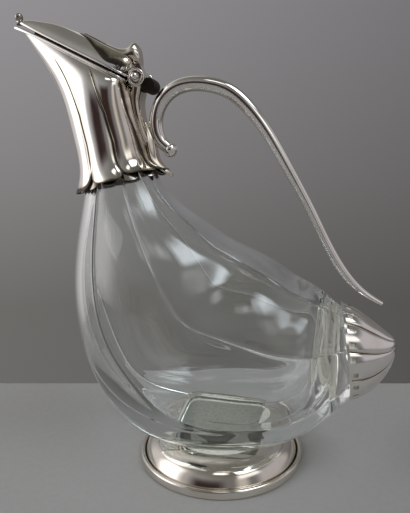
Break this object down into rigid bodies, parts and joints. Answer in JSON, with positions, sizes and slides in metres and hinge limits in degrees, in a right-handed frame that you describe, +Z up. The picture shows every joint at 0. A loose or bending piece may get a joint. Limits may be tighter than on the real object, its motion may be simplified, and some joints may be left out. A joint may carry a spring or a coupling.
{
  "type": "claret jug",
  "caption": "Claret jug shaped as a duck: a lobed clear glass body in plated mounts, with a hinged lid for a bill, a curved handle and a round foot.",
  "frame": {"origin": "the centre of the foot's underside, on the table", "axes": "+Z up, -X the way the bill points, +X towards the tail; the XZ plane is the plane of symmetry"},
  "size_m": [0.2114, 0.106, 0.2532],
  "materials": {
    "clear_glass": "clear polished glass with soft grooves between its lobes",
    "silver_plate": "polished silver plate with a faint warm tarnish",
    "dark_plate": "silver plate left dark where it is not rubbed",
    "plaster": "set plaster, out of sight",
    "baize": "dark green baize"
  },
  "bodies": {
    "jug": {"glass_body": "clear_glass", "foot_band": "silver_plate", "foot_dome": "silver_plate", "foot_baize": "baize", "foot_plaster": "plaster", "head_mount": "silver_plate", "bill_rim": "silver_plate", "neck_ruff": "dark_plate", "neck_cement": "plaster", "hinge_bracket": "silver_plate", "hinge_pin": "silver_plate", "pin_stud_left": "silver_plate", "pin_stud_right": "silver_plate", "handle_bar": "silver_plate", "handle_ball": "silver_plate", "handle_saddle": "silver_plate", "tail_cap": "silver_plate", "tail_bezel": "silver_plate", "tail_plaster": "plaster"},
    "lid": {"lid_bezel": "silver_plate", "lid_dome": "silver_plate", "thumb_leaf": "silver_plate", "lid_knuckle": "silver_plate", "bill_finial": "dark_plate"}
  },
  "joints": [
    {"name": "lid_hinge", "type": "hinge", "parent": "jug", "child": "lid", "pos_m": [-0.0416, 0, 0.2138], "axis": [0, 1, 0], "range_deg": [0, 78]}
  ]
}
